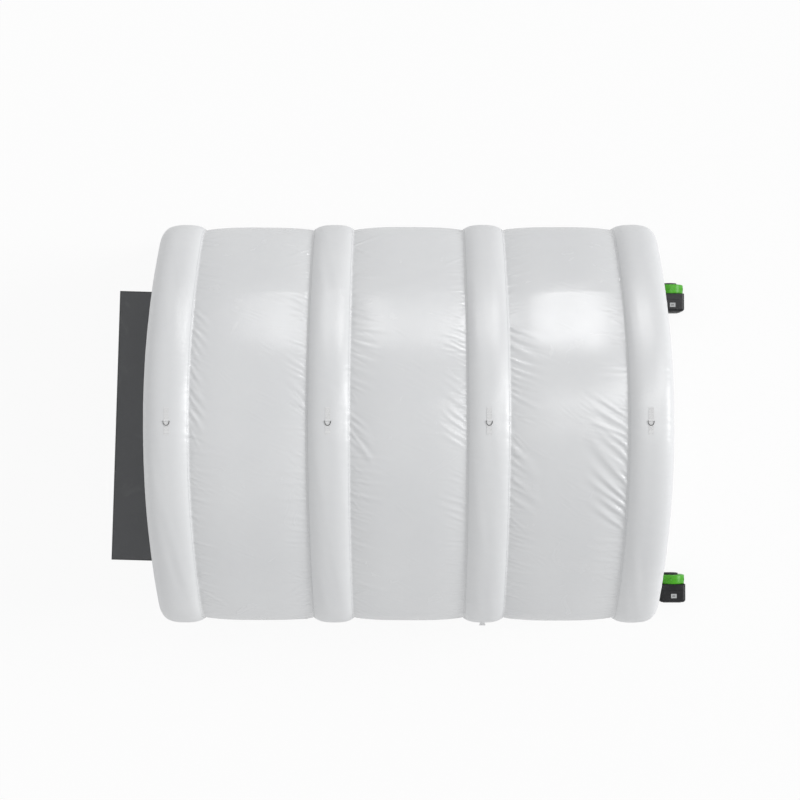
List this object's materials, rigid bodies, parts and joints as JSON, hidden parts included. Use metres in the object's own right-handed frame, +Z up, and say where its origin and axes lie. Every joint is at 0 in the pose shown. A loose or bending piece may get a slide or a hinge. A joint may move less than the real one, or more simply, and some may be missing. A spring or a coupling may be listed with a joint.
{
  "type": "inflatable paint booth",
  "caption": "Tunnel-shaped inflatable spray booth: hollow arches on ground tubes, fabric bays, zipped door curtain, filters, floor mat and two blowers.",
  "frame": {"origin": "middle of the booth on the ground, on the underside of the floor mat, half way between the end arches and between the two ground tubes", "axes": "X runs along the tunnel from the door (-X) to the blowers (+X), Y across it, +Z up"},
  "size_m": [6.2776, 4.1177, 2.999],
  "materials": {
    "pearl_fabric": "satin coated fabric, pearl white",
    "wall_fabric": "satin coated fabric, pale grey",
    "clear_window": "clear flexible vinyl",
    "mat_fabric": "dark grey woven mat",
    "pale_webbing": "pale grey webbing",
    "black_steel": "black coated wire",
    "green_casing": "bright green moulded plastic",
    "black_plastic": "black moulded plastic",
    "grey_plastic": "pale grey moulded plastic",
    "zip_nylon": "black zip tape and teeth",
    "zinc": "cast slider",
    "filter_media": "pleated white filter media",
    "pocket_fabric": "grey pocket fabric",
    "motor_steel": "motor can"
  },
  "bodies": {
    "booth": {"arch_front": "pearl_fabric", "arch_mid_front": "pearl_fabric", "arch_mid_rear": "pearl_fabric", "arch_rear": "pearl_fabric", "base_tube_left": "pearl_fabric", "base_tube_right": "pearl_fabric", "bay_panel_front": "pearl_fabric", "bay_panel_middle": "pearl_fabric", "bay_panel_rear": "pearl_fabric", "crown_front_tab": "pale_webbing", "crown_mid_front_tab": "pale_webbing", "crown_mid_rear_tab": "pale_webbing", "crown_rear_tab": "pale_webbing", "filter_pocket_left": "pocket_fabric", "filter_pocket_right": "pocket_fabric", "floor_mat": "mat_fabric", "frame_blower_casing": "green_casing", "frame_blower_guard": "black_plastic", "frame_blower_housing": "black_plastic", "frame_blower_motor": "motor_steel", "frame_blower_outlet": "green_casing", "frame_blower_sleeve": "pearl_fabric", "frame_blower_stand": "black_plastic", "frame_blower_switch_plate": "grey_plastic", "front_wall": "wall_fabric", "rear_wall": "wall_fabric", "side_mid_front_left_tab": "pale_webbing", "side_mid_front_right_tab": "pale_webbing", "side_mid_rear_left_tab": "pale_webbing", "side_mid_rear_right_tab": "pale_webbing", "supply_blower_casing": "green_casing", "supply_blower_guard": "black_plastic", "supply_blower_housing": "black_plastic", "supply_blower_motor": "motor_steel", "supply_blower_outlet": "green_casing", "supply_blower_sleeve": "pearl_fabric", "supply_blower_stand": "black_plastic", "supply_blower_switch_plate": "grey_plastic", "window_left": "clear_window", "window_right": "clear_window", "zip_left": "zip_nylon", "zip_right": "zip_nylon"},
    "curtain": {"door_curtain": "wall_fabric"},
    "slider_right": {"zip_slider_right": "zinc"},
    "slider_left": {"zip_slider_left": "zinc"},
    "filter_right": {"filter_pad_right": "filter_media"},
    "filter_left": {"filter_pad_left": "filter_media"},
    "crown_front_loop": {"crown_front_ring": "black_steel"},
    "crown_mid_front_loop": {"crown_mid_front_ring": "black_steel"},
    "crown_mid_rear_loop": {"crown_mid_rear_ring": "black_steel"},
    "crown_rear_loop": {"crown_rear_ring": "black_steel"},
    "side_mid_front_left_loop": {"side_mid_front_left_ring": "black_steel"},
    "side_mid_front_right_loop": {"side_mid_front_right_ring": "black_steel"},
    "side_mid_rear_left_loop": {"side_mid_rear_left_ring": "black_steel"},
    "side_mid_rear_right_loop": {"side_mid_rear_right_ring": "black_steel"},
    "frame_blower_rotor": {"frame_blower_wheel": "black_plastic"},
    "frame_blower_switch": {"frame_blower_rocker": "black_plastic"},
    "supply_blower_rotor": {"supply_blower_wheel": "black_plastic"},
    "supply_blower_switch": {"supply_blower_rocker": "black_plastic"}
  },
  "joints": [
    {"name": "curtain_swing", "type": "hinge", "parent": "booth", "child": "curtain", "pos_m": [-2.2673, 0, 2.17], "axis": [0, 1, 0], "range_deg": [0, 90]},
    {"name": "zip_right_slide", "type": "slide", "parent": "booth", "child": "slider_right", "axis": [0, 0, 1], "range_m": [0, 1.436]},
    {"name": "zip_left_slide", "type": "slide", "parent": "booth", "child": "slider_left", "axis": [0, 0, 1], "range_m": [0, 1.436]},
    {"name": "filter_right_lift", "type": "slide", "parent": "booth", "child": "filter_right", "axis": [0, 0, 1], "range_m": [0, 0.78]},
    {"name": "filter_left_lift", "type": "slide", "parent": "booth", "child": "filter_left", "axis": [0, 0, 1], "range_m": [0, 0.78]},
    {"name": "crown_front_flip", "type": "hinge", "parent": "booth", "child": "crown_front_loop", "pos_m": [-2.265, 0, 2.99446], "axis": [-1, 0, 0], "range_deg": [0, 180]},
    {"name": "crown_mid_front_flip", "type": "hinge", "parent": "booth", "child": "crown_mid_front_loop", "pos_m": [-0.755, 0, 2.99446], "axis": [-1, 0, 0], "range_deg": [0, 180]},
    {"name": "crown_mid_rear_flip", "type": "hinge", "parent": "booth", "child": "crown_mid_rear_loop", "pos_m": [0.755, 0, 2.99446], "axis": [-1, 0, 0], "range_deg": [0, 180]},
    {"name": "crown_rear_flip", "type": "hinge", "parent": "booth", "child": "crown_rear_loop", "pos_m": [2.265, 0, 2.99446], "axis": [-1, 0, 0], "range_deg": [0, 180]},
    {"name": "side_mid_front_left_flip", "type": "hinge", "parent": "booth", "child": "side_mid_front_left_loop", "pos_m": [-0.755, 2.03392, 1.36131], "axis": [1, 0, 0], "range_deg": [0, 180]},
    {"name": "side_mid_front_right_flip", "type": "hinge", "parent": "booth", "child": "side_mid_front_right_loop", "pos_m": [-0.755, -2.03392, 1.36131], "axis": [-1, 0, 0], "range_deg": [0, 180]},
    {"name": "side_mid_rear_left_flip", "type": "hinge", "parent": "booth", "child": "side_mid_rear_left_loop", "pos_m": [0.755, 2.03392, 1.36131], "axis": [1, 0, 0], "range_deg": [0, 180]},
    {"name": "side_mid_rear_right_flip", "type": "hinge", "parent": "booth", "child": "side_mid_rear_right_loop", "pos_m": [0.755, -2.06392, 1.36131], "axis": [-1, 0, 0], "range_deg": [-40, 180]},
    {"name": "frame_blower_spin", "type": "hinge", "parent": "booth", "child": "frame_blower_rotor", "pos_m": [2.852, -1.68, 0.195], "axis": [0, 1, 0], "continuous": true},
    {"name": "frame_blower_switch_rock", "type": "hinge", "parent": "booth", "child": "frame_blower_switch", "pos_m": [2.87, -1.855, 0.3351], "axis": [0, -1, 0], "range_deg": [0, 14]},
    {"name": "supply_blower_spin", "type": "hinge", "parent": "booth", "child": "supply_blower_rotor", "pos_m": [2.852, 1.476, 0.195], "axis": [0, 1, 0], "continuous": true},
    {"name": "supply_blower_switch_rock", "type": "hinge", "parent": "booth", "child": "supply_blower_switch", "pos_m": [2.87, 1.301, 0.3351], "axis": [0, -1, 0], "range_deg": [0, 14]}
  ]
}
